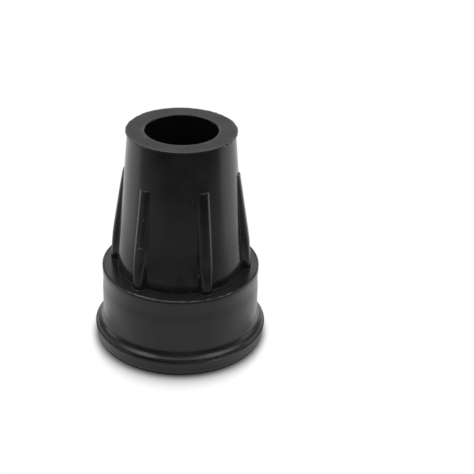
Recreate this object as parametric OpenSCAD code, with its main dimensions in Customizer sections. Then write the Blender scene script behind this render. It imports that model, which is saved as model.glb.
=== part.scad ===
// Rubber cane tip: a one-piece moulded ferrule that pushes onto the end of a walking cane.
// A tapered neck with six fins stands on a wide collar and a beaded flange. The sole has
// stepped tread rings around a hollow middle with a small boss.
// Millimetres, +Z up. The sole lies on the plane z = 0 and the axis of the tip is the Z axis.

/* [Overall] */
// Height from the sole to the top face
tip_h = 60.2; // [50:0.2:76]
// Height of the ledge where the neck meets the collar
ledge_h = 21.2; // [17:0.2:26]
// Widest diameter, around the step of the flange
base_d = 46.8; // [45:0.2:60]

/* [Bore] */
// Diameter of the bore that grips the cane
bore_d = 19; // [14:0.5:23]
// Thickness of rubber between the floor of the bore and the hollow of the sole
floor_t = 8.4; // [4:0.1:14]
// Rounding of the bore's rim
bore_rim = 0.4; // [0.1:0.1:1]

/* [Neck] */
// Thickness of the neck's wall just under its top lip
neck_wall = 4.45; // [3:0.05:6]
// Radius of the fillet between the neck and the ledge
neck_fillet = 0.2; // [0.1:0.1:1]
// How far the thin top lip stands out from the neck
lip_out = 0.5; // [0.2:0.1:1.2]
// Thickness of the top lip at its edge
lip_t = 0.4; // [0.2:0.1:1]

/* [Fins] */
// Number of fins around the neck
fin_count = 6; // [3:1:10]
// Turn of the whole ring of fins
fin_turn = -64.3; // [-180:0.1:180]
// Thickness of a fin at its outer edge
fin_t = 2.8; // [1:0.1:4]
// Draft of a fin's two sides, which makes it thicker at its root
fin_draft = 10; // [0:1:20]
// Plain length of neck between the top face and a fin's top
fin_gap = 11.4; // [4:0.2:16]
// Height of the bend in a fin's outer edge above the ledge
fin_bend_rise = 8.1; // [4:0.1:12]
// How far a fin stands out from the neck at its top
fin_top_out = 0.5; // [0.2:0.1:1.2]
// How far a fin stands out from the neck at its bend
fin_bend_out = 2; // [1:0.1:2.4]
// How far a fin stands out from the neck at the ledge
fin_foot_out = 1.9; // [1:0.1:2.4]
// Rounding of a fin's outer edges, at most 0.44 of its thickness
fin_edge = 1; // [0.1:0.05:1.1]

/* [Collar] */
// Width of the ledge between the neck and the collar's edge
ledge_w = 4; // [3:0.1:5]
// Depth of the shallow waist under the ledge
waist_depth = 0.22; // [0:0.02:0.6]
// Height of the waist's upper end below the ledge
waist_drop = 0.6; // [0.4:0.1:1.5]
// Length of the waist down the collar
waist_length = 6.8; // [3:0.1:8]
// Height of the raised line around the ledge's edge
rim_h = 0.2; // [0.1:0.05:0.4]
// Width of the raised line around the ledge's edge
rim_w = 0.5; // [0.3:0.1:0.8]

/* [Flange] */
// How far the flange stands out from the collar
flange_out = 2.2; // [1.6:0.1:4]
// Height of the step along the parting line, where the flange is widest
parting_h = 3.5; // [2.4:0.1:4.4]
// Bevel along the upper edge of that step
parting_bevel = 0.15; // [0.05:0.05:0.3]
// How far the wall under the step leans in towards the floor
flange_lean = 0.4; // [0:0.1:0.8]
// How far the bead above the step stands back from the flange's widest edge
bead_in = 0.6; // [0.3:0.05:0.8]
// Radius of the bead
bead_r = 0.5; // [0.3:0.05:0.8]
// Slope where the bead meets the hollow above it, in degrees
bead_slope = 38; // [20:1:45]
// Rounding of the flange's lower edge
sole_edge = 0.6; // [0.2:0.1:1]

/* [Sole] */
// Width of the outer tread ring, which stands on the ground
ring_1_w = 4.4; // [3:0.1:5]
// Width of the sloped wall between the outer ring and the second one
ring_wall_w = 1; // [0.6:0.1:1.4]
// Depth of the second ring's face
ring_2_depth = 1.5; // [1:0.1:2]
// Width of the second ring
ring_2_w = 2.8; // [2:0.1:3.4]
// Upright step at the outer side of the groove
groove_step = 0.65; // [0.2:0.05:1]
// Width of the groove between the second and third rings, slope included
groove_w = 2.9; // [2.2:0.1:3.4]
// Width of the groove's sloped side
groove_slope_w = 1.6; // [0.6:0.1:1.9]
// Depth of the groove
groove_depth = 4.6; // [4.3:0.1:5.2]
// Depth of the third ring's face
ring_3_depth = 4; // [3:0.1:4.2]
// Width of the third ring
ring_3_w = 2.8; // [1.8:0.1:3.4]
// Depth of the hollow in the middle
hollow_depth = 7.8; // [6.4:0.1:9.4]
// Rounding of the hollow's corners
hollow_edge = 0.9; // [0.3:0.1:1]
// Diameter of the boss in the middle
boss_d = 10; // [8.4:0.1:11]
// Depth of the boss's face
boss_depth = 4.9; // [4.3:0.1:5.4]
// Outer diameter of the thin-walled nub on the boss
nub_d = 6.6; // [5.4:0.1:7.4]
// Height of the nub above the boss's face
nub_h = 1.2; // [0.4:0.1:1.6]
// Diameter of the hole in the nub
nub_hole_d = 4; // [2:0.1:4.8]

/* [Hidden] */
$fn = 96;
rubber = "#2c2c2d";

// Steps used for a quarter turn of a rounded edge, on the turned form and on a fin
arc_steps = 6;
fin_steps = 5;
// Steps used for the curve of the waist
waist_steps = 12;
// Height of the sloped underside of the top lip
lip_slope = 0.3;
// Overlap that lets joined and cut shapes pass through each other
over = 1;

bore_r = bore_d / 2;
bore_floor = hollow_depth + floor_t;
base_r = base_d / 2;
collar_r = base_r - flange_out;
neck_base_r = collar_r - ledge_w;
neck_top_r = bore_r + neck_wall;
lip_r = neck_top_r + lip_out;
fin_top_h = tip_h - fin_gap;
fin_bend_h = ledge_h + fin_bend_rise;
lean_angle = atan2(flange_lean, parting_h - parting_bevel - sole_edge);
bead_h = parting_h + 0.75 * bead_r;
// Radius of the hollow between the collar and the bead, and the height where it starts
hollow_r = (flange_out - bead_in) / (1 - sin(bead_slope)) - bead_r;
hollow_h = bead_h + (bead_r + hollow_r) * cos(bead_slope);
ring_1_in = base_r - ring_1_w;
ring_2_out = ring_1_in - ring_wall_w;
ring_2_in = ring_2_out - ring_2_w;
ring_3_out = ring_2_in - groove_w;
ring_3_in = ring_3_out - ring_3_w;

// Points on an arc about [cr, cz], from angle a0 to angle a1
function arc(cr, cz, r, a0, a1, n = arc_steps) =
    [for (i = [0 : n]) let (a = a0 + (a1 - a0) * i / n) [cr + r * cos(a), cz + r * sin(a)]];

// Radius of the neck cone at height z
function neck_r(z) = neck_base_r + (neck_top_r - neck_base_r) * (z - ledge_h) / (tip_h - ledge_h);

// Radius of the collar a share t of the way up its shallow rounded waist
function waist_r(t) = collar_r - waist_depth * (1 - cos(360 * t)) / 2;

// Flange, from the middle of the sole out to its edge and up to the foot of the collar
flange_points = concat(
    [[0, 0]],
    arc(base_r - flange_lean - sole_edge, sole_edge, sole_edge, -90, -lean_angle),
    [
        [base_r, parting_h - parting_bevel],
        [base_r - parting_bevel, parting_h]
    ],
    arc(base_r - bead_in - bead_r, bead_h, bead_r, -40, 90 - bead_slope),
    arc(collar_r + hollow_r, hollow_h, hollow_r, 270 - bead_slope, 180)
);

// Collar, from the bottom of its waist up to the raised line around the ledge
collar_points = concat(
    [for (i = [0 : waist_steps])
        [waist_r(i / waist_steps), ledge_h - waist_drop - waist_length * (1 - i / waist_steps)]],
    [
        [collar_r, ledge_h],
        [collar_r - rim_w / 3, ledge_h + rim_h],
        [collar_r - rim_w * 2 / 3, ledge_h + rim_h],
        [collar_r - rim_w, ledge_h]
    ]
);

// Neck, from the fillet on the ledge up to the top lip
neck_points = concat(
    arc(neck_r(ledge_h + neck_fillet) + neck_fillet, ledge_h + neck_fillet, neck_fillet, 270, 180),
    [
        [neck_r(tip_h - lip_t - lip_slope), tip_h - lip_t - lip_slope],
        [lip_r, tip_h - lip_t],
        [lip_r, tip_h - lip_t / 4],
        [lip_r - lip_t / 4, tip_h],
        [0, tip_h]
    ]
);

// Second ring and the groove inside it, as the edge of the space cut out of the sole
tread_points = [
    [0, -over],
    [ring_1_in, -over],
    [ring_1_in, 0],
    [ring_2_out + ring_wall_w * 0.2, ring_2_depth * 0.8],
    [ring_2_out - ring_wall_w * 0.2, ring_2_depth],
    [ring_2_in, ring_2_depth],
    [ring_2_in, ring_2_depth + groove_step],
    [ring_2_in - groove_slope_w, groove_depth],
    [ring_3_out, groove_depth]
];

// Third ring, the hollow inside it, and the boss with its nub
middle_points = concat(
    [
        [ring_3_out, ring_3_depth],
        [ring_3_in, ring_3_depth]
    ],
    arc(ring_3_in - hollow_edge, hollow_depth - hollow_edge, hollow_edge, 0, 90),
    arc(boss_d / 2 + hollow_edge, hollow_depth - hollow_edge, hollow_edge, 90, 180),
    [
        [boss_d / 2, boss_depth],
        [nub_d / 2, boss_depth],
        [(nub_d + nub_hole_d) / 4, boss_depth - nub_h],
        [nub_hole_d / 2, boss_depth - nub_h],
        [nub_hole_d / 2, hollow_depth - hollow_edge],
        [0, hollow_depth - hollow_edge]
    ]
);

// The turned form of the tip, solid inside
module turned_form() {
    rotate_extrude()
        polygon(concat(flange_points, collar_points, neck_points));
}

// Outline of a fin seen along its own outer edge, with rounded outer corners and drafted sides
module fin_outline() {
    depth = neck_base_r;
    edge = min(fin_edge, 0.44 * fin_t);
    corner = fin_t / 2 + edge * tan(fin_draft) - edge / cos(fin_draft);
    root = fin_t / 2 + depth * tan(fin_draft);
    polygon(concat(
        [[-depth, -root]],
        arc(-edge, -corner, edge, -90 + fin_draft, 0, fin_steps),
        arc(-edge, corner, edge, 0, 90 - fin_draft, fin_steps),
        [[-depth, root]]
    ));
}

// A long bar whose outer edge runs through the points [r0, z0] and [r1, z1]
module fin_bar(r0, z0, r1, z1) {
    lean = atan2(r0 - r1, z1 - z0);
    translate([r0, 0, z0])
        rotate([0, -lean, 0])
            translate([0, 0, -tip_h])
                linear_extrude(height = 3 * tip_h)
                    fin_outline();
}

// One fin on the +X side: two bars give the bend, and a block cuts its foot and its top
module fin() {
    foot_r = neck_r(ledge_h) + fin_foot_out;
    bend_r = neck_r(fin_bend_h) + fin_bend_out;
    top_r = neck_r(fin_top_h) + fin_top_out;
    intersection() {
        fin_bar(foot_r, ledge_h, bend_r, fin_bend_h);
        fin_bar(bend_r, fin_bend_h, top_r, fin_top_h);
        translate([bore_r + over, -base_r / 2, ledge_h - over])
            cube([base_r, base_r, fin_top_h - ledge_h + over]);
    }
}

// The blind bore and its rounded rim
module bore() {
    translate([0, 0, bore_floor])
        cylinder(r = bore_r, h = tip_h - bore_floor + over);
    rotate_extrude()
        polygon(concat(
            [[0, tip_h + over], [0, tip_h - bore_rim]],
            arc(bore_r + bore_rim, tip_h - bore_rim, bore_rim, 180, 90),
            [[bore_r + bore_rim, tip_h + over]]
        ));
}

// The space cut out of the sole: stepped rings, hollow and nub
module sole_cut() {
    rotate_extrude()
        polygon(concat(tread_points, middle_points));
}

module cane_tip() {
    color(rubber)
        difference() {
            union() {
                turned_form();
                for (i = [0 : fin_count - 1])
                    rotate([0, 0, fin_turn + i * 360 / fin_count])
                        fin();
            }
            bore();
            sole_cut();
        }
}

cane_tip();
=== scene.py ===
"""Rubber cane tip: the visual model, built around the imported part.

The mesh code works in millimetres, with +Z up along the bore and the sole on z = 0. Azimuth is
measured around Z from -Y, where the viewer stands, towards +X.
"""

import math

import bpy
import numpy as np
from mathutils import Matrix, Vector

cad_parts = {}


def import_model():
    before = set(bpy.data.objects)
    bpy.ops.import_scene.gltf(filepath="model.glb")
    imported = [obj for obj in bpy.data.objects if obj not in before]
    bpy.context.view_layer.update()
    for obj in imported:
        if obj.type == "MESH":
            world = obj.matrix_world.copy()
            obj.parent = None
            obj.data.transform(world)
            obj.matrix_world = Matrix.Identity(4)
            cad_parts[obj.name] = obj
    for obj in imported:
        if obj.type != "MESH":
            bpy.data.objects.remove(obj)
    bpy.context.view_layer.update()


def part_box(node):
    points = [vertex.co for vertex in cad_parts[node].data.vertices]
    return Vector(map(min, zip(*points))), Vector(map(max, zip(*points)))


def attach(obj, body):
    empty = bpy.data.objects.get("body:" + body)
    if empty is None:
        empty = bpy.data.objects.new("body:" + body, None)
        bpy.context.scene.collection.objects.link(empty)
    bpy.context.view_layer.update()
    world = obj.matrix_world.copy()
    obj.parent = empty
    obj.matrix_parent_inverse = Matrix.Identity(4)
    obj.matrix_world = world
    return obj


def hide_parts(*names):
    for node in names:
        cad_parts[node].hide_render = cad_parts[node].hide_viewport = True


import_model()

NODE = "cane_tip"
MM = 0.001

# ---------------------------------------------------------------- sizes, millimetres and degrees

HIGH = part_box(NODE)[1]
TIP_H = HIGH.z / MM
BASE_R = min(HIGH.x, HIGH.y) / MM

# The blind bore
BORE_R = 9.5
BORE_RIM = 0.4
BORE_FLOOR_H = 16.2
BORE_FLOOR_ROUND = 0.8

# The neck, a cone that stands on the collar's ledge
LEDGE_H = 21.2
NECK_BASE_R = 17.2
NECK_TOP_R = 13.95
NECK_FILLET = 0.06

# The thin lip around the top face, which stands out of the neck
LIP_OUT = 0.5
LIP_T = 0.4
LIP_SLOPE = 0.2
LIP_LEAN = 0.04
LIP_R = NECK_TOP_R + LIP_OUT
LIP_FOOT_H = TIP_H - LIP_T - LIP_SLOPE

# The fins: how their sides lean, where their outer line bends, and how far out they stand
FIN_COUNT = 6
FIN_AZIMUTH = 25.1
FIN_T = 2.8
FIN_DRAFT = 18
FIN_EDGE = 1.35
FIN_TOP_H = 48.8
FIN_BEND_H = 29.3
FIN_BEND_BLEND = 1.6
FIN_BEND_EASE = 0.03
FIN_TOP_OUT = 0.5
FIN_BEND_OUT = 2.0
FIN_FOOT_OUT = 1.9
FIN_LEAST_OUT = 0.05
FIN_ROOT_FILLET = 0.15
FIN_FOOT_FILLET = 0.12
FIN_TOP_ROUND = 0.08
FIN_TOP_RISE = 0.2
# Fins that end a little lower than the others, as azimuth and how much lower, and how far around
# and how far down that spreads
FIN_TOPS_LOW = ((-94.3, 0.9), (-34.3, 0.4), (85.7, 0.25))
FIN_TOPS_LOW_WIDTH = 9
FIN_TOPS_LOW_FADE = 3

# The collar, its shallow waist and the raised line around its ledge
COLLAR_R = BASE_R - 2.2
WAIST_DEPTH = 0.15
WAIST_TOP_H = 20.6
WAIST_LENGTH = 6.8
RIM_H = 0.2
RIM_W = 0.5
RIM_GROOVE = 0.1

# The flange: its parting line, and the bead and hollow above
PARTING_H = 3.5
PARTING_BEVEL = 0.15
BEVEL_H = PARTING_H - PARTING_BEVEL
BEAD_IN = 0.6
BEAD_R = 0.5
BEAD_H = PARTING_H + 0.75 * BEAD_R
BEAD_UNDER = 38
BEAD_SLOPE = 38
HOLLOW_R = 2.6
SOLE_EDGE = 0.6
FLANGE_LEAN = 0.4

# The sole, from its outer ring in to the nub, with depths measured up from the ground
RING_1_IN = BASE_R - 4.4
RING_2_OUT = RING_1_IN - 1.0
RING_2_IN = RING_2_OUT - 2.8
RING_2_DEPTH = 1.5
GROOVE_STEP = 0.65
GROOVE_SLOPE_W = 1.6
GROOVE_DEPTH = 4.6
RING_3_OUT = RING_2_IN - 2.9
RING_3_IN = RING_3_OUT - 2.8
RING_3_DEPTH = 4.0
HOLLOW_DEPTH = 7.8
HOLLOW_EDGE = 0.9
BOSS_R = 5.0
BOSS_DEPTH = 4.9
NUB_R = 3.3
NUB_H = 1.2
NUB_HOLE_R = 2.0
HOLE_TOP = HOLLOW_DEPTH - HOLLOW_EDGE

# Unevenness. Each place is an azimuth, a half width and, where it has a third number, a depth.
# Where the step under the bead is open, how deep its valley is there, and how full and how uneven
# it is elsewhere
OPEN_PLACES = ((-24, 11), (-8, 11))
OPEN_DEPTH = 0.14
FILLED = 0.62
FILLED_RAGGED = 0.3
# How far the parting line wanders, and the tears of the nub, finely and broadly
PARTING_LIFT = 0.04
NUB_TORN_FINE = 0.22
NUB_TORN_BROAD = 0.3
# The tears of the lip, its most torn places, its nicks, and the chips in the bore's edge
LIP_TORN_FINE = 0.09
LIP_TORN_BROAD = 0.07
LIP_TORN_LEAST = 0.35
LIP_TORN_PLACES = ((140, 30), (-125, 35))
LIP_NICKS = ((54, 1.6, 0.3), (60, 1.2, 0.12))
BORE_CHIPS = ((27, 1.5, 0.25), (160, 1.3, 0.2))
BORE_RAGGED = 0.03

# ---------------------------------------------------------------- curves in the r, z plane


def smooth(t):
    """An S-curve from 0 to 1."""
    t = np.clip(t, 0, 1)
    return t * t * (3 - 2 * t)


def rounded(corners, steps=4):
    """A run of r, z points through corners given as (r, z, rounding), each corner rounded by an arc."""
    run = []
    for i, (r, z, rounding) in enumerate(corners):
        corner = np.array([r, z], float)
        if rounding == 0 or i in (0, len(corners) - 1):
            run.append(corner)
            continue
        before = np.array(corners[i - 1][:2], float) - corner
        after = np.array(corners[i + 1][:2], float) - corner
        u = before / np.linalg.norm(before)
        v = after / np.linalg.norm(after)
        half = math.acos(np.clip(u @ v, -1, 1)) / 2
        reach = rounding / math.tan(half)
        centre = corner + (u + v) / np.linalg.norm(u + v) * rounding / math.sin(half)
        start = corner + u * reach - centre
        end = corner + v * reach - centre
        turn = math.pi - 2 * half
        for k in range(steps + 1):
            t = k / steps
            swung = start * math.sin(turn * (1 - t)) + end * math.sin(turn * t)
            run.append(centre + swung / math.sin(turn))
    return run


def arc(cr, cz, r, a0, a1, steps):
    """Points on an arc about cr, cz."""
    turns = np.radians(np.linspace(a0, a1, steps + 1))
    return [np.array([cr + r * math.cos(a), cz + r * math.sin(a)]) for a in turns]


def spread(p, q, steps):
    """Points between p and q, ends left out."""
    return [np.array(p) + (np.array(q) - np.array(p)) * k / steps for k in range(1, steps)]


def neck_r(z):
    """Radius of the neck's cone at height z."""
    return NECK_BASE_R + (NECK_TOP_R - NECK_BASE_R) * (z - LEDGE_H) / (TIP_H - LEDGE_H)


# ---------------------------------------------------------------- columns around the axis

# Steps across half a fin's face, its corner, its flank and its root, and over the plain neck
FACE_STEPS = 3
CORNER_STEPS = 7
FLANK_STEPS = 3
ROOT_STEPS = 4
PLAIN_STEPS = 16
FILLET_FADE_STEPS = 6
HALF_STEPS = FACE_STEPS + CORNER_STEPS + FLANK_STEPS + ROOT_STEPS + PLAIN_STEPS
COLUMNS = 2 * HALF_STEPS * FIN_COUNT
SECTOR = 2 * math.pi / FIN_COUNT
# Steps of the close outline that a fin's columns are placed on, and how far it runs into the neck
BEND_STEPS = 24
SIDE_POINTS = 40
SIDE_REACH = 4

EVEN = math.radians(FIN_AZIMUTH) + np.arange(COLUMNS) * 2 * math.pi / COLUMNS


def ragged(azimuth, knots, seed):
    """Random values from -1 to 1 around the circle, joined smoothly and closed on themselves."""
    values = np.random.default_rng(seed).uniform(-1, 1, knots)
    place = (azimuth / (2 * math.pi) * knots) % knots
    first = np.floor(place).astype(int)
    t = smooth(place - first)
    return values[first % knots] * (1 - t) + values[(first + 1) % knots] * t


def near(azimuth, degrees, width):
    """A bump of height 1 at an azimuth in degrees, with its half width in degrees."""
    off = (np.degrees(azimuth) - degrees + 180) % 360 - 180
    return np.exp(-((off / width) ** 2))


def dents(places):
    """How deep the dents at some places are, around the circle."""
    return sum(depth * near(EVEN, degrees, width) for degrees, width, depth in places)


def ring(r, z, azimuth=EVEN):
    """One row of points: radius and height may be numbers or arrays."""
    r = np.broadcast_to(r, azimuth.shape)
    z = np.broadcast_to(z, azimuth.shape)
    return np.stack([r * np.sin(azimuth), -r * np.cos(azimuth), z], axis=1)


def polar(row):
    """Radius and azimuth of each point of a row."""
    return np.hypot(row[:, 0], row[:, 1]), np.arctan2(row[:, 0], -row[:, 1])


# ---------------------------------------------------------------- neck with its fins


def fin_out(z):
    """How far a fin's face stands out of the neck at height z, with its bend eased."""
    foot = NECK_BASE_R + FIN_FOOT_OUT
    bend = neck_r(FIN_BEND_H) + FIN_BEND_OUT
    top = neck_r(FIN_TOP_H) + FIN_TOP_OUT
    lower = foot + (bend - foot) * (z - LEDGE_H) / (FIN_BEND_H - LEDGE_H)
    upper = bend + (top - bend) * (z - FIN_BEND_H) / (FIN_TOP_H - FIN_BEND_H)
    ease = FIN_BEND_BLEND * math.exp(-(((z - FIN_BEND_H) / FIN_BEND_BLEND) ** 2)) * FIN_BEND_EASE
    return min(lower, upper) - ease - neck_r(z)


def fin_side(z):
    """Half a fin's section at height z as close points, x out along the fin and y across it: the face,
    the rounded corner and the drafted side, which runs on inside the neck."""
    face_x = neck_r(z) + max(fin_out(z), FIN_LEAST_OUT)
    draft = math.radians(FIN_DRAFT)
    centre_x = face_x - FIN_EDGE
    centre_y = FIN_T / 2 + FIN_EDGE * math.tan(draft) - FIN_EDGE / math.cos(draft)
    turns = (math.pi / 2 - draft) * np.arange(BEND_STEPS + 1) / BEND_STEPS
    bend = np.stack([centre_x + FIN_EDGE * np.cos(turns), centre_y + FIN_EDGE * np.sin(turns)], axis=1)
    along = np.array([-math.cos(draft), math.sin(draft)])
    side = bend[-1] + np.linspace(0.1, SIDE_REACH, SIDE_POINTS)[:, None] * along
    return np.concatenate([[(face_x, 0)], bend, side])


def cut_at_neck(path, r):
    """The points of a fin's section that lie outside the neck, and a last one on the neck's circle."""
    out = np.hypot(path[:, 0], path[:, 1]) - r
    last = int(np.argmax(out < 0))
    share = out[last - 1] / (out[last - 1] - out[last])
    root = path[last - 1] + (path[last] - path[last - 1]) * share
    return np.concatenate([path[:last], [root]])


def half_outline(z):
    """Half a sector's outline at height z: x out along the fin, y across it, from the middle of the
    fin's face round to the middle of the plain neck."""
    r = neck_r(z)
    path = cut_at_neck(fin_side(z), r)
    root = path[-1]
    length = np.concatenate([[0], np.cumsum(np.hypot(*np.diff(path, axis=0).T))])
    fillet = min(FIN_ROOT_FILLET, 0.3 * length[-1])
    stop = length[-1] - fillet
    corner = min(length[min(BEND_STEPS + 1, len(path) - 2)], 0.9 * stop)
    places = list(np.linspace(0, length[1], FACE_STEPS + 1))[:-1]
    places += list(np.linspace(length[1], corner, CORNER_STEPS + 1))
    places += list(np.linspace(corner, stop, FLANK_STEPS + 1))[1:]
    points = [(np.interp(s, length, path[:, 0]), np.interp(s, length, path[:, 1])) for s in places]
    start = np.array(points[-1])
    end_turn = math.atan2(root[1], root[0]) + fillet / r
    end = np.array([r * math.cos(end_turn), r * math.sin(end_turn)])
    for k in range(1, ROOT_STEPS + 1):
        t = k / ROOT_STEPS
        points.append(tuple(start * (1 - t) ** 2 + root * 2 * t * (1 - t) + end * t * t))
    for k in range(1, PLAIN_STEPS + 1):
        a = end_turn + (SECTOR / 2 - end_turn) * k / PLAIN_STEPS
        points.append((r * math.cos(a), r * math.sin(a)))
    return np.array(points)


def outline(z, swell=0.0, share=1.0):
    """The neck's whole outline at height z as a row of points. swell is a fillet's width there on the
    plain neck and on a fin; share is how much of the fin is left, from 1 to 0 over its top end."""
    half = half_outline(z)
    if share < 1:
        turn = np.arctan2(half[:, 1], half[:, 0])
        circle = neck_r(z) * np.stack([np.cos(turn), np.sin(turn)], axis=1)
        half = circle + (half - circle) * share
    along = np.gradient(half, axis=0)
    along /= np.linalg.norm(along, axis=1)[:, None]
    outward = np.stack([along[:, 1], -along[:, 0]], axis=1)
    outward[0] = (1, 0)
    plain = smooth((np.arange(HALF_STEPS + 1) - HALF_STEPS + PLAIN_STEPS) / FILLET_FADE_STEPS)
    width = swell * (FIN_FOOT_FILLET + (NECK_FILLET - FIN_FOOT_FILLET) * plain)
    half = half + outward * width[:, None]
    r = np.hypot(half[:, 0], half[:, 1])
    turn = np.arctan2(half[:, 1], half[:, 0])
    r = np.concatenate([r[:-1], r[:0:-1]])
    turn = np.concatenate([turn[:-1], SECTOR - turn[:0:-1]])
    turns = np.concatenate([turn + k * SECTOR for k in range(FIN_COUNT)])
    return ring(np.tile(r, FIN_COUNT), z, math.radians(FIN_AZIMUTH) + turns)


def blend_rows(first, last, steps):
    """Rows between two rows, turning and widening evenly, ends left out."""
    r0, a0 = polar(first)
    r1, a1 = polar(last)
    turn = (a1 - a0 + math.pi) % (2 * math.pi) - math.pi
    rows = []
    for k in range(1, steps):
        t = k / steps
        height = first[:, 2] + (last[:, 2] - first[:, 2]) * t
        rows.append(ring(r0 + (r1 - r0) * t, height, a0 + turn * t))
    return rows


def foot_row(turn):
    """One row of the small fillet around the foot of the neck, which is wider around the fins."""
    row = outline(LEDGE_H + NECK_FILLET * (1 - math.cos(turn)), swell=1 - math.sin(turn))
    stands = smooth((polar(row)[0] - NECK_BASE_R) / 0.8)
    row[:, 2] += stands * (FIN_FOOT_FILLET - NECK_FILLET) * (1 - math.cos(turn))
    return row


def neck_rows():
    """From the foot of the neck on the ledge up to just under the top lip."""
    rows = [foot_row(math.radians(90 * k / 8)) for k in range(9)]
    heights = list(np.linspace(LEDGE_H + 0.5, FIN_BEND_H - 1.5, 9))
    heights += list(np.linspace(FIN_BEND_H - 1, FIN_BEND_H + 1, 5))
    heights += list(np.linspace(FIN_BEND_H + 2, FIN_TOP_H - 1, 14))
    rows += [outline(z) for z in heights]
    rows += fin_top_rows()
    close_h = LIP_FOOT_H - 0.06
    close = ring(neck_r(close_h), close_h)
    rows += blend_rows(rows[-1], close, 9)
    rows += [close, ring(neck_r(LIP_FOOT_H), LIP_FOOT_H)]
    return [uneven_tops(row) for row in rows]


def uneven_tops(row):
    """The same row, drawn down where a fin ends a little lower than the others."""
    r, azimuth = polar(row)
    low = sum(much * near(azimuth, degrees, FIN_TOPS_LOW_WIDTH) for degrees, much in FIN_TOPS_LOW)
    low = low * np.exp(-(((row[:, 2] - FIN_TOP_H) / FIN_TOPS_LOW_FADE) ** 2))
    taper = (NECK_BASE_R - NECK_TOP_R) / (TIP_H - LEDGE_H)
    return ring(r + low * taper, row[:, 2] - low, azimuth)


def fin_top_rows():
    """The rounded top end of the fins: over the edge, across the end and down to the plain neck."""
    left = 1 - FIN_TOP_ROUND / FIN_TOP_OUT
    rows = []
    for k in range(4):
        a = math.radians(30 * k)
        share = left + (1 - left) * math.cos(a)
        rows.append(outline(FIN_TOP_H - FIN_TOP_ROUND * (1 - math.sin(a)), share=share))
    for rise, kept in ((0.005, 0.6), (0.02, 0.25), (0.08, 0.06), (FIN_TOP_RISE, 0)):
        rows.append(outline(FIN_TOP_H + rise, share=left * kept))
    return rows


# ---------------------------------------------------------------- sole, side, top and bore


def sole_rows():
    """From the axis, in the hole of the nub, out across the tread to the flange's lower edge."""
    nub_mid = (NUB_R + NUB_HOLE_R) / 2
    nub_top = BOSS_DEPTH - NUB_H
    run = [np.array([0.7, HOLE_TOP])]
    run += rounded([
        (0.8, HOLE_TOP, 0),
        (NUB_HOLE_R, HOLE_TOP, 0.3),
        (NUB_HOLE_R, nub_top, 0.12),
        (nub_mid, nub_top, 0.12),
        (NUB_R, BOSS_DEPTH, 0.15),
        (BOSS_R, BOSS_DEPTH, 0.25),
        (BOSS_R, HOLLOW_DEPTH, HOLLOW_EDGE),
        (RING_3_IN, HOLLOW_DEPTH, HOLLOW_EDGE),
        (RING_3_IN, RING_3_DEPTH, 0.15),
        (RING_3_OUT, RING_3_DEPTH, 0.12),
        (RING_3_OUT, GROOVE_DEPTH, 0.1),
        (RING_2_IN - GROOVE_SLOPE_W, GROOVE_DEPTH, 0.3),
        (RING_2_IN, RING_2_DEPTH + GROOVE_STEP, 0.1),
        (RING_2_IN, RING_2_DEPTH, 0.12),
        (RING_2_OUT, RING_2_DEPTH, 0.3),
        (RING_1_IN, 0, 0.18),
        (RING_1_IN + 1.5, 0, 0),
    ], 3)
    torn = NUB_TORN_FINE * ragged(EVEN, 34, 5) + NUB_TORN_BROAD * ragged(EVEN, 9, 6)
    rows = []
    for r, z in run:
        nub = math.exp(-(((r - nub_mid) / 0.5) ** 2)) * (z < BOSS_DEPTH)
        rows.append(ring(r, z + nub * torn))
    return rows


def side_run():
    """Flange and collar as r, z points, from the sole's edge up to the top of the collar's waist."""
    lean = math.degrees(math.atan2(FLANGE_LEAN, BEVEL_H - SOLE_EDGE))
    slope = math.radians(BEAD_SLOPE)
    run = arc(BASE_R - FLANGE_LEAN - SOLE_EDGE, SOLE_EDGE, SOLE_EDGE, -90, -lean, 6)
    run += spread(run[-1], (BASE_R, BEVEL_H), 5)
    run += rounded([
        (BASE_R - 0.02, BEVEL_H - 0.2, 0),
        (BASE_R, BEVEL_H, 0.06),
        (BASE_R - PARTING_BEVEL, PARTING_H, 0.06),
        (BASE_R - BEAD_IN - 0.08, PARTING_H + 0.02, 0),
    ], 3)
    run += arc(BASE_R - BEAD_IN - BEAD_R, BEAD_H, BEAD_R, -BEAD_UNDER, 90 - BEAD_SLOPE, 12)
    cone_end_r = COLLAR_R + HOLLOW_R * (1 - math.sin(slope))
    cone_end_h = run[-1][1] + (run[-1][0] - cone_end_r) * math.tan(slope)
    run += spread(run[-1], (cone_end_r, cone_end_h), 3)
    hollow_h = cone_end_h + HOLLOW_R * math.cos(slope)
    run += arc(COLLAR_R + HOLLOW_R, hollow_h, HOLLOW_R, 270 - BEAD_SLOPE, 180, 11)
    waist_foot = WAIST_TOP_H - WAIST_LENGTH
    run += spread((COLLAR_R, hollow_h), (COLLAR_R, waist_foot), 6)
    for k in range(13):
        dip = WAIST_DEPTH * (1 - math.cos(2 * math.pi * k / 12)) / 2
        run.append(np.array([COLLAR_R - dip, waist_foot + WAIST_LENGTH * k / 12]))
    return run


def rim_run():
    """The raised line around the ledge's edge, bevelled outside, with a fine groove under it."""
    return rounded([
        (COLLAR_R, LEDGE_H - 0.58, 0),
        (COLLAR_R - RIM_GROOVE, LEDGE_H - 0.28, 0.03),
        (COLLAR_R, LEDGE_H - 0.03, 0.04),
        (COLLAR_R - RIM_W * 0.56, LEDGE_H + RIM_H, 0.06),
        (COLLAR_R - RIM_W * 0.8, LEDGE_H + RIM_H, 0.05),
        (COLLAR_R - RIM_W, LEDGE_H, 0.05),
        (COLLAR_R - RIM_W - 0.4, LEDGE_H, 0),
    ], 3)


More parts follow.
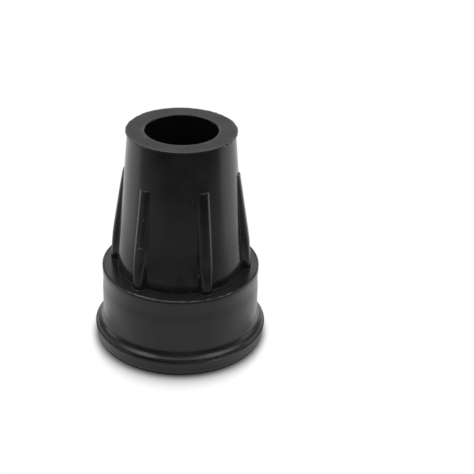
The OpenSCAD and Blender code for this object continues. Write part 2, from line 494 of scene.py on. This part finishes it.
def side_rows():
    """Rows of the flange and collar, with the small unevenness of the mould's parting lines. The
    step under the bead is part filled with flash, except at the front, where it is open."""
    open_front = np.clip(sum(near(EVEN, *place) for place in OPEN_PLACES), 0, 1)
    filled = np.clip(FILLED + FILLED_RAGGED * ragged(EVEN, 70, 11), 0, 1) * (1 - open_front)
    lift = PARTING_LIFT * ragged(EVEN, 24, 12)
    rows = []
    for r, z in side_run():
        step = math.exp(-(((z - PARTING_H) / 0.16) ** 2))
        chord = BASE_R - BEAD_IN * (z - BEVEL_H) / (BEAD_H - BEVEL_H)
        fill = filled * max(chord - r, 0) * (BEVEL_H < z < BEAD_H)
        valley = math.exp(-(((z - PARTING_H - 0.03) / 0.1) ** 2)) * (r < BASE_R - 0.2)
        rows.append(ring(r + fill - OPEN_DEPTH * open_front * valley, z + step * lift))
    flash = 0.04 * ragged(EVEN, 130, 21) + 0.03 * ragged(EVEN, 26, 22) + 0.03 * near(EVEN, -21, 5)
    flash -= 0.03 + 0.08 * np.sin(2 * EVEN) ** 4
    for r, z in rim_run():
        up = max(z - LEDGE_H, 0) / RIM_H
        rows.append(ring(r, z + up * flash))
    return rows


def lip_rows():
    """The thin top lip, slightly ragged and nicked, then the top face, the bore and its floor."""
    run = rounded([
        (neck_r(LIP_FOOT_H), LIP_FOOT_H, 0),
        (LIP_R, TIP_H - LIP_T, 0.06),
        (LIP_R - LIP_LEAN, TIP_H, 0.05),
        (LIP_R - 1.2, TIP_H, 0),
    ])[1:]
    torn = LIP_TORN_FINE * ragged(EVEN, 110, 31) + LIP_TORN_BROAD * ragged(EVEN, 40, 32)
    torn *= LIP_TORN_LEAST + sum(near(EVEN, *place) for place in LIP_TORN_PLACES)
    torn -= dents(LIP_NICKS)
    rows = []
    for r, z in run:
        edge = smooth((r - (LIP_R - 0.7)) / 0.7)
        rows.append(ring(r + edge * torn, z))
    rows += [ring(r, TIP_H) for r in np.linspace(LIP_R - 1.8, BORE_R + BORE_RIM + 0.5, 4)]
    rim = rounded([
        (BORE_R + BORE_RIM + 0.3, TIP_H, 0),
        (BORE_R, TIP_H, BORE_RIM),
        (BORE_R, TIP_H - 1.2, 0),
    ], 5)
    chip = dents(BORE_CHIPS) + BORE_RAGGED * ragged(EVEN, 90, 41)
    for r, z in rim:
        edge = math.exp(-(((r - BORE_R) / 0.4) ** 2)) * math.exp(-(((z - TIP_H) / 0.6) ** 2))
        rows.append(ring(r + edge * chip, z))
    rows += [ring(BORE_R, z) for z in (TIP_H - 3, TIP_H - 8, TIP_H - 16, TIP_H - 26)]
    rows += [ring(r, z) for r, z in rounded([
        (BORE_R, BORE_FLOOR_H + 4, 0),
        (BORE_R, BORE_FLOOR_H, BORE_FLOOR_ROUND),
        (3.0, BORE_FLOOR_H, 0),
    ], 5)]
    return rows


# ---------------------------------------------------------------- the mesh


def all_rows():
    """Every row, from the axis under the sole, up the outside, over the lip and down the bore."""
    side = side_rows()
    neck = neck_rows()
    ledge = blend_rows(side[-1], neck[0], 9)
    return sole_rows() + side + ledge + neck + lip_rows()


def swept_mesh(name, rows, first, last):
    """One closed mesh through the rows, ended by a fan to a point on the axis at each end."""
    count = len(rows)
    points = np.concatenate([np.array([first]), np.concatenate(rows), np.array([last])])
    row = np.arange(COLUMNS)
    after = (row + 1) % COLUMNS
    faces = [(0, 1 + a, 1 + b) for a, b in zip(row, after)]
    for i in range(count - 1):
        low, high = 1 + i * COLUMNS, 1 + (i + 1) * COLUMNS
        faces += [(low + a, high + a, high + b, low + b) for a, b in zip(row, after)]
    top = 1 + (count - 1) * COLUMNS
    end = len(points) - 1
    faces += [(end, top + b, top + a) for a, b in zip(row, after)]
    mesh = bpy.data.meshes.new(name)
    mesh.from_pydata((points * MM).tolist(), [], faces)
    mesh.update()
    return mesh


def face_weighted_normals(mesh):
    """Smooth shading in which large faces outweigh the small ones of a rounded edge."""
    mesh.polygons.foreach_set("use_smooth", [True] * len(mesh.polygons))
    total = np.zeros((len(mesh.vertices), 3))
    for face in mesh.polygons:
        total[list(face.vertices)] += np.array(face.normal) * face.area
    total /= np.linalg.norm(total, axis=1)[:, None]
    mesh.normals_split_custom_set_from_vertices(total.tolist())


def cane_tip(material):
    """The whole moulding as one piece."""
    first = (0, 0, HOLE_TOP)
    last = (0, 0, BORE_FLOOR_H)
    mesh = swept_mesh("rubber_cane_tip", all_rows(), first, last)
    face_weighted_normals(mesh)
    mesh.materials.append(material)
    piece = bpy.data.objects.new("rubber_cane_tip", mesh)
    bpy.context.scene.collection.objects.link(piece)
    return piece


# ---------------------------------------------------------------- node helpers


class Tree:
    """Short calls for making and joining the nodes of one material or world."""

    def __init__(self, owner):
        owner.use_nodes = True
        self.nodes = owner.node_tree.nodes
        self.links = owner.node_tree.links
        self.nodes.clear()

    def add(self, kind, settings=None, **inputs):
        node = self.nodes.new(kind)
        for key, value in (settings or {}).items():
            setattr(node, key, value)
        for key, value in inputs.items():
            self.put(node, key.replace("_", " "), value)
        return node

    def put(self, node, key, value):
        socket = node.inputs[int(key) if key.isdigit() else key]
        if isinstance(value, bpy.types.NodeSocket):
            self.links.new(value, socket)
        else:
            socket.default_value = value

    def math(self, operation, a, b=0.0):
        node = self.nodes.new("ShaderNodeMath")
        node.operation = operation
        self.put(node, "0", a)
        self.put(node, "1", b)
        return node.outputs[0]

    def length(self, vector):
        node = self.add("ShaderNodeVectorMath", {"operation": "LENGTH"})
        self.links.new(vector, node.inputs[0])
        return node.outputs["Value"]

    def distance(self, vector, point):
        node = self.add("ShaderNodeVectorMath", {"operation": "DISTANCE"})
        self.links.new(vector, node.inputs[0])
        node.inputs[1].default_value = point
        return node.outputs["Value"]

    def ramp(self, value, low, high, start=0.0, end=1.0):
        node = self.nodes.new("ShaderNodeMapRange")
        node.interpolation_type = "SMOOTHSTEP"
        self.put(node, "Value", value)
        self.put(node, "From Min", low)
        self.put(node, "From Max", high)
        self.put(node, "To Min", start)
        self.put(node, "To Max", end)
        return node.outputs["Result"]

    def noise(self, where, size_mm, detail):
        node = self.add("ShaderNodeTexNoise", Vector=where, Scale=1 / (size_mm * MM), Detail=detail)
        return node.outputs["Fac"]

    def between(self, share, a, b):
        node = self.nodes.new("ShaderNodeMix")
        node.data_type = "FLOAT"
        self.put(node, "0", share)
        self.put(node, "2", a)
        self.put(node, "3", b)
        return node.outputs[0]

    def blend(self, share, a, b):
        node = self.nodes.new("ShaderNodeMix")
        node.data_type = "RGBA"
        self.put(node, "0", share)
        self.put(node, "6", a)
        self.put(node, "7", b)
        return node.outputs[2]

    def mix_shaders(self, share, a, b):
        node = self.add("ShaderNodeMixShader", Fac=share)
        self.links.new(a, node.inputs[1])
        self.links.new(b, node.inputs[2])
        return node.outputs[0]


def seen(tree):
    """1 for a ray from the camera, a gloss or a clear surface, and 0 for light that falls on things."""
    path = tree.add("ShaderNodeLightPath")
    first = tree.math("MAXIMUM", path.outputs["Is Camera Ray"], path.outputs["Is Glossy Ray"])
    return tree.math("MAXIMUM", first, path.outputs["Is Transmission Ray"])


# ---------------------------------------------------------------- rubber


# Colours of the moulded skin, of the dust on it, of painted light on faces that face up, of painted
# highlights on the top face's edges, of painted shade on the bore's wall, of specks and of worn marks
BLACK = (0.006, 0.006, 0.0062, 1)
DUSTY = (0.010, 0.010, 0.010, 1)
PAINTED_TOP_LIGHT = (0.014, 0.014, 0.014, 1)
PAINTED_EDGE_HIGHLIGHT = (0.041, 0.041, 0.041, 1)
PAINTED_BORE_SHADE = (0.004, 0.004, 0.004, 1)
SPECK = (0.12, 0.12, 0.12, 1)
WORN = (0.07, 0.07, 0.07, 1)
SPECULAR = 0.5
# Roughness of the neck, of the collar and flange, and of the cut top face
SATIN = 0.19
COLLAR_SATIN = 0.29
MATT = 0.5
# Sizes of the noises, millimetres
CLOUD_SIZE = 6
GRAIN_SIZE = 0.35
DRAWN_SIZE = 0.8
DRAWN_STRETCH = 0.06
SPECK_SIZE = 0.45
CRUMB_SIZE = 0.5

# Where each noise, and the upward turn of a face, starts to show and shows in full
DUST_EDGE = (0.35, 0.7)
SPECK_EDGE = (0.78, 0.84)
CRUMB_EDGE = (0.5, 0.62)
LEVEL_EDGE = (0.6, 0.98)
DULL_EDGE = (0.3, 0.7)
# How far the dust and the drawn marks change the roughness
DUST_ROUGH = (-0.03, 0.04)
DRAWN_ROUGH = 0.12
# Bumps: strength, and depth in millimetres
WORN_BUMP = (0.8, 0.1)
GRAIN_BUMP = (0.35, 0.01)
DRAWN_BUMP = (0.3, 0.02)

# Worn marks: azimuth in degrees, radius and height, then half their size across, out and up
MARKS = (
    (-43.5, 14.9, 50.3, 0.5, 1.0, 0.45),
    (66, 14.3, 55.5, 0.9, 1.0, 2.8),
    (-57, 10.6, 60.2, 1.3, 0.8, 0.4),
    (77, 10.7, 60.2, 0.6, 0.5, 0.4),
    (-37, 17.9, 34.5, 1.5, 1.2, 0.3),
    (-33, 18.0, 33.2, 1.0, 1.2, 0.25),
    (18, 17.6, 26.5, 0.5, 1.2, 1.0),
    (150, 18.9, 21.2, 3.5, 1.2, 0.3),
    (-140, 18.9, 21.2, 3.0, 1.2, 0.3),
)


def worn_marks(tree, where):
    """1 on the small light scratches and specks of the marks, 0 elsewhere."""
    crumbs = tree.ramp(tree.noise(where, CRUMB_SIZE, 2), *CRUMB_EDGE)
    total = 0.0
    for azimuth, radius, height, across, out, up in MARKS:
        turn = math.radians(azimuth)
        middle = Vector((radius * math.sin(turn), -radius * math.cos(turn), height)) * MM
        place = tree.add("ShaderNodeMapping", {"vector_type": "TEXTURE"}, Vector=where)
        tree.put(place, "Location", middle)
        tree.put(place, "Rotation", (0, 0, turn))
        tree.put(place, "Scale", (across * MM, out * MM, up * MM))
        mark = tree.ramp(tree.length(place.outputs[0]), 0.5, 1.0, 1.0, 0.0)
        total = tree.math("MAXIMUM", mark, total)
    return tree.math("MULTIPLY", total, crumbs)


def rubber_colour(tree, where, cloud, cut, worn):
    """Black with clouds of dust, specks and worn marks, with painted light on faces that face up, painted
    highlights on the top face's edges and painted shade in the bore.
    """
    parts = tree.add("ShaderNodeSeparateXYZ", Vector=where).outputs
    height = parts["Z"]
    radius = tree.math("SQRT", tree.math("ADD", tree.math("POWER", parts["X"], 2.0),
                                         tree.math("POWER", parts["Y"], 2.0)))
    # The top face's inner and outer edges, which are made lighter: painted highlights
    inner_edge = tree.ramp(radius, (BORE_R + 0.25) * MM, (BORE_R + 1.0) * MM, 1.0, 0.0)
    outer_edge = tree.ramp(radius, (LIP_R - 0.9) * MM, (LIP_R - 0.25) * MM)
    edge_highlight = tree.math("MULTIPLY", cut, tree.math("MAXIMUM", inner_edge, outer_edge))
    # Faces that face up, which are made lighter: painted light from above
    facing = tree.add("ShaderNodeNewGeometry").outputs["Normal"]
    top_light = tree.ramp(tree.add("ShaderNodeSeparateXYZ", Vector=facing).outputs["Z"], *LEVEL_EDGE)
    # The bore's wall above its floor, which is made darker: painted shade
    above_floor = tree.ramp(height, (BORE_FLOOR_H - 2) * MM, (BORE_FLOOR_H - 1) * MM)
    inside = tree.ramp(radius, (BORE_R + 0.05) * MM, (BORE_R + 0.3) * MM, 1.0, 0.0)
    inside = tree.math("MULTIPLY", inside, above_floor)
    specks = tree.ramp(tree.noise(where, SPECK_SIZE, 1), *SPECK_EDGE)

    colour = tree.blend(tree.ramp(cloud, *DUST_EDGE), BLACK, DUSTY)
    colour = tree.blend(top_light, colour, PAINTED_TOP_LIGHT)
    colour = tree.blend(edge_highlight, colour, PAINTED_EDGE_HIGHLIGHT)
    colour = tree.blend(inside, colour, PAINTED_BORE_SHADE)
    colour = tree.blend(specks, colour, SPECK)
    return tree.blend(worn, colour, WORN)


def rubber_roughness(tree, height, cloud, drawn, cut):
    """Satin on the neck, duller on the collar and flange, and matt on the cut top face."""
    low, high = DUST_ROUGH
    rough = tree.ramp(cloud, *DULL_EDGE, SATIN + low, SATIN + high)
    lower = tree.ramp(height, (LEDGE_H - 0.5) * MM, (LEDGE_H + 0.5) * MM, COLLAR_SATIN - SATIN, 0.0)
    rough = tree.math("ADD", rough, lower)
    rough = tree.math("ADD", rough, tree.math("MULTIPLY", tree.math("SUBTRACT", drawn, 0.5), DRAWN_ROUGH))
    return tree.math("ADD", rough, tree.math("MULTIPLY", cut, MATT - SATIN))


def bump(tree, look, height, under=None):
    """The normal of a bump of the given strength and depth, on top of another one where there is one."""
    strength, depth = look
    node = tree.add("ShaderNodeBump", Height=height, Strength=strength, Distance=depth * MM)
    if under is not None:
        tree.put(node, "Normal", under)
    return node.outputs[0]


def rubber_bump(tree, grain, worn, drawn):
    """Worn marks, then a fine grain, then marks drawn down the flanks."""
    chips = bump(tree, WORN_BUMP, worn)
    fine = bump(tree, GRAIN_BUMP, grain, chips)
    return bump(tree, DRAWN_BUMP, drawn, fine)


def rubber_material():
    """Satin black moulded rubber with a fine grain, drawn marks down the flanks and a matt top face."""
    material = bpy.data.materials.new("rubber")
    tree = Tree(material)
    where = tree.add("ShaderNodeTexCoord").outputs["Object"]
    height = tree.add("ShaderNodeSeparateXYZ", Vector=where).outputs["Z"]
    cut = tree.ramp(height, (TIP_H - 0.12) * MM, (TIP_H - 0.03) * MM)
    stretch = {"vector_type": "POINT"}
    stretched = tree.add("ShaderNodeMapping", stretch, Vector=where, Scale=(1, 1, DRAWN_STRETCH))
    cloud = tree.noise(where, CLOUD_SIZE, 3)
    grain = tree.noise(where, GRAIN_SIZE, 3)
    drawn = tree.noise(stretched.outputs[0], DRAWN_SIZE, 3)
    worn = worn_marks(tree, where)

    shader = tree.add("ShaderNodeBsdfPrincipled")
    tree.put(shader, "Base Color", rubber_colour(tree, where, cloud, cut, worn))
    tree.put(shader, "Roughness", rubber_roughness(tree, height, cloud, drawn, cut))
    tree.put(shader, "Specular IOR Level", SPECULAR)
    tree.put(shader, "Normal", rubber_bump(tree, grain, worn, drawn))
    out = tree.add("ShaderNodeOutputMaterial")
    tree.put(out, "Surface", shader.outputs[0])
    return material


# ---------------------------------------------------------------- floor, light and camera


FLOOR_SIZE = 1.6
FLOOR_H = -0.05 * MM
FLOOR_COLOUR = (0.8, 0.8, 0.8, 1)

# How the floor shows in gloss, in metres and as a share of white. The pool is lit out to POOL_EDGE
# and dims beyond it. On the viewer's side it dims twice, across FRONT_EDGE and FAR_FRONT_EDGE, by
# amounts that change with the distance from the object across REACH_EDGE.
POOL_CENTRE = (-0.03, 0.13, 0)
POOL_EDGE = (0.235, 0.32)
POOL_DIM = 0.15
FRONT_EDGE = (-0.035, 0.005)
FAR_FRONT_EDGE = (-0.09, -0.06)
REACH_EDGE = (0.08, 0.095)
FRONT_DIM = 0.62
FRONT_DIM_FAR = 0.36
FAR_FRONT_DIM = 0.56
# The dim ring around the object, darkest towards the viewer. Turns here and below are a place's share
# of the way back from the object, from -1 towards the viewer to 1 behind.
RING_CENTRE = (0, -0.009, 0)
RING_INNER_EDGE = (0.058, 0.064)
RING_OUTER_EDGE = (0.076, 0.098)
RING_TURN = (-0.95, 0.3)
RING_DIM = 0.1
RING_SIDE_DIM = 0.7
# The dim floor at the object's foot on its left and right
FOOT_TURN_IN = (-0.75, -0.1)
FOOT_TURN_OUT = (-0.1, 0.2)
FOOT_EDGE = (0.029, 0.0355)
FOOT_DIM = 0.5

# The shadow at the object's foot: how far it reaches all round, how much further in front and how
# narrow that front is, the way its rays lean, the share of open rays at which it is black, and how
# much of it shows in gloss
SHADOW_LEAN = (0, 0.5, 0.866)
SHADOW_REACH = 2.4 * MM
SHADOW_FRONT = 5.8 * MM
SHADOW_TURN = 2.5
SHADOW_DARK = 0.235
SHADOW_IN_GLOSS = 0.4


def floor_shadow(tree, where):
    """The soft shadow at the foot of the object, which reaches further out towards the viewer."""
    side = tree.add("ShaderNodeSeparateXYZ", Vector=where).outputs["Y"]
    front = tree.math("MULTIPLY", tree.math("DIVIDE", side, tree.length(where)), -1.0)
    front = tree.math("POWER", tree.math("MAXIMUM", front, 0.0), SHADOW_TURN)
    reach = tree.math("ADD", tree.math("MULTIPLY", front, SHADOW_FRONT), SHADOW_REACH)
    x, y, z = SHADOW_LEAN
    lean = tree.add("ShaderNodeCombineXYZ", X=x, Y=y, Z=z).outputs[0]
    hidden = tree.add("ShaderNodeAmbientOcclusion", {"samples": 32}, Distance=reach, Normal=lean)
    return tree.ramp(hidden.outputs["AO"], SHADOW_DARK, 1.0)


def mirrored_pool(tree, where):
    """How bright the floor shows in gloss: a pool of light around and behind the object, weaker on the
    viewer's side, in a ring just beyond the object's shadow, and at its foot on the left and right."""
    pool = tree.ramp(tree.distance(where, POOL_CENTRE), *POOL_EDGE, 1.0, POOL_DIM)
    side = tree.add("ShaderNodeSeparateXYZ", Vector=where).outputs["Y"]
    reach = tree.length(where)
    front = tree.ramp(reach, *REACH_EDGE, FRONT_DIM, FRONT_DIM_FAR)
    far_front = tree.ramp(reach, *REACH_EDGE, FAR_FRONT_DIM, FAR_FRONT_DIM * FRONT_DIM / FRONT_DIM_FAR)
    pool = tree.math("MULTIPLY", pool, tree.ramp(side, *FRONT_EDGE, front, 1.0))
    pool = tree.math("MULTIPLY", pool, tree.ramp(side, *FAR_FRONT_EDGE, far_front, 1.0))

    turn = tree.math("DIVIDE", side, reach)
    beside = tree.math("MULTIPLY", tree.ramp(turn, *FOOT_TURN_IN),
                       tree.ramp(turn, *FOOT_TURN_OUT, 1.0, 0.0))
    foot = tree.ramp(reach, *FOOT_EDGE, tree.between(beside, 1.0, FOOT_DIM), 1.0)
    pool = tree.math("MULTIPLY", pool, foot)

    apart = tree.distance(where, RING_CENTRE)
    in_ring = tree.math("MULTIPLY", tree.ramp(apart, *RING_INNER_EDGE),
                        tree.ramp(apart, *RING_OUTER_EDGE, 1.0, 0.0))
    depth = tree.ramp(turn, *RING_TURN, RING_DIM, RING_SIDE_DIM)
    return tree.math("MULTIPLY", pool, tree.between(in_ring, 1.0, depth))


def floor_material():
    """White floor that keeps the object's contact shadow, and that dims in reflections towards the
    viewer. From below it is clear, so that the sole can be looked at."""
    material = bpy.data.materials.new("floor")
    material.cycles.emission_sampling = "NONE"
    tree = Tree(material)
    where = tree.add("ShaderNodeTexCoord").outputs["Object"]
    path = tree.add("ShaderNodeLightPath").outputs
    gloss = tree.math("MAXIMUM", path["Is Glossy Ray"], path["Is Transmission Ray"])
    shade = floor_shadow(tree, where)
    shadow = tree.between(SHADOW_IN_GLOSS, 1.0, shade)
    mirrored = tree.math("MULTIPLY", mirrored_pool(tree, where), shadow)

    lit = tree.add("ShaderNodeBsdfDiffuse", Color=FLOOR_COLOUR).outputs[0]
    white = tree.add("ShaderNodeEmission", Strength=tree.between(gloss, shade, mirrored)).outputs[0]
    top = tree.mix_shaders(seen(tree), lit, white)
    clear = tree.add("ShaderNodeBsdfTransparent").outputs[0]
    below = tree.add("ShaderNodeNewGeometry").outputs["Backfacing"]
    out = tree.add("ShaderNodeOutputMaterial")
    tree.put(out, "Surface", tree.mix_shaders(below, top, clear))
    return material


def floor():
    """A plain floor just under the sole."""
    half = FLOOR_SIZE / 2
    corners = [(x * half, y * half, FLOOR_H) for x, y in ((-1, -1), (1, -1), (1, 1), (-1, 1))]
    mesh = bpy.data.meshes.new("floor")
    mesh.from_pydata(corners, [], [(0, 1, 2, 3)])
    mesh.materials.append(floor_material())
    plane = bpy.data.objects.new("floor", mesh)
    bpy.context.scene.collection.objects.link(plane)


# Brightness of the world on the object, and in gloss on the viewer's side and on the other sides,
# with the share of the way back, from -1 to 1, across which each passes into the next
WORLD_LEVEL = 0.65
ROOM_LEVEL = 0.08
SIDE_LEVEL = 0.2
SIDE_EDGE = (-0.35, 0.25)
BACK_EDGE = (0.7, 0.86)


def world():
    """White to the eye and a plain soft level on everything. In gloss it is white behind the object
    and falls off to a dim room on the viewer's side."""
    made = bpy.data.worlds.new("studio")
    made.cycles.sampling_method = "NONE"
    tree = Tree(made)
    where = tree.add("ShaderNodeTexCoord").outputs["Generated"]
    backwards = tree.add("ShaderNodeSeparateXYZ", Vector=where).outputs["Y"]
    room = tree.ramp(backwards, *SIDE_EDGE, ROOM_LEVEL, SIDE_LEVEL)
    room = tree.math("ADD", room, tree.ramp(backwards, *BACK_EDGE, 0.0, 1 - SIDE_LEVEL))
    gloss = tree.add("ShaderNodeLightPath").outputs["Is Glossy Ray"]
    strength = tree.between(seen(tree), WORLD_LEVEL, tree.between(gloss, 1.0, room))
    back = tree.add("ShaderNodeBackground", Color=(1, 1, 1, 1), Strength=strength)
    out = tree.add("ShaderNodeOutputWorld")
    tree.put(out, "Surface", back.outputs[0])
    bpy.context.scene.world = made


# Soft boxes: name, azimuth and elevation in degrees, distance, width and height in metres, and the
# brightness of the face
BOXES = (
    ("left_side_box", -104, 10, 0.4, 0.16, 0.14, 1.3),
    ("left_tall_box", -80, 54, 0.4, 0.34, 0.16, 2.5),
    ("right_side_box", 104, 10, 0.4, 0.16, 0.14, 1.3),
    ("right_tall_box", 80, 54, 0.4, 0.34, 0.16, 2.5),
    ("top_box", 0, 75, 0.5, 0.3, 0.14, 2.0),
)


def lamp(name, azimuth, elevation, distance, width, height, radiance):
    """A soft box that faces the object's middle, with the brightness its face shows."""
    light = bpy.data.lights.new(name, "AREA")
    light.shape = "RECTANGLE"
    light.size = width
    light.size_y = height
    light.energy = radiance * math.pi * width * height
    a, e = math.radians(azimuth), math.radians(elevation)
    out = Vector((math.sin(a) * math.cos(e), -math.cos(a) * math.cos(e), math.sin(e)))
    box = bpy.data.objects.new(name, light)
    box.location = Vector((0, 0, TIP_H * MM / 2)) + out * distance
    box.rotation_mode = "QUATERNION"
    box.rotation_quaternion = (-out).to_track_quat("-Z", "Y")
    box.visible_camera = False
    bpy.context.scene.collection.objects.link(box)


# The camera: lens in millimetres, tilt down and roll in degrees, distance and the point it looks at
CAMERA_LENS = 91.03
CAMERA_TILT = 28.79
CAMERA_ROLL = 1.87
CAMERA_DISTANCE = 322.1
CAMERA_AIM = (15.06, 0, 29.25)


def camera():
    """A viewer in front, looking down at the tip, which stands left of the picture's middle."""
    tilt = math.radians(CAMERA_TILT)
    forward = Vector((0, math.cos(tilt), -math.sin(tilt)))
    level = Matrix((Vector((1, 0, 0)), Vector((1, 0, 0)).cross(forward), -forward)).transposed()
    turned = Matrix.Rotation(-math.radians(CAMERA_ROLL), 3, forward) @ level
    data = bpy.data.cameras.new("camera")
    data.lens = CAMERA_LENS
    data.sensor_width = 36
    data.clip_start = 0.01
    data.clip_end = 10
    eye = bpy.data.objects.new("camera", data)
    eye.rotation_mode = "QUATERNION"
    eye.rotation_quaternion = turned.to_quaternion()
    eye.location = (Vector(CAMERA_AIM) - forward * CAMERA_DISTANCE) * MM
    bpy.context.scene.collection.objects.link(eye)
    bpy.context.scene.camera = eye


# ---------------------------------------------------------------- the scene

bpy.context.scene.view_settings.view_transform = "Standard"
camera()
floor()
world()
for box in BOXES:
    lamp(*box)

tip = cane_tip(rubber_material())
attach(tip, "root")
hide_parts(NODE)
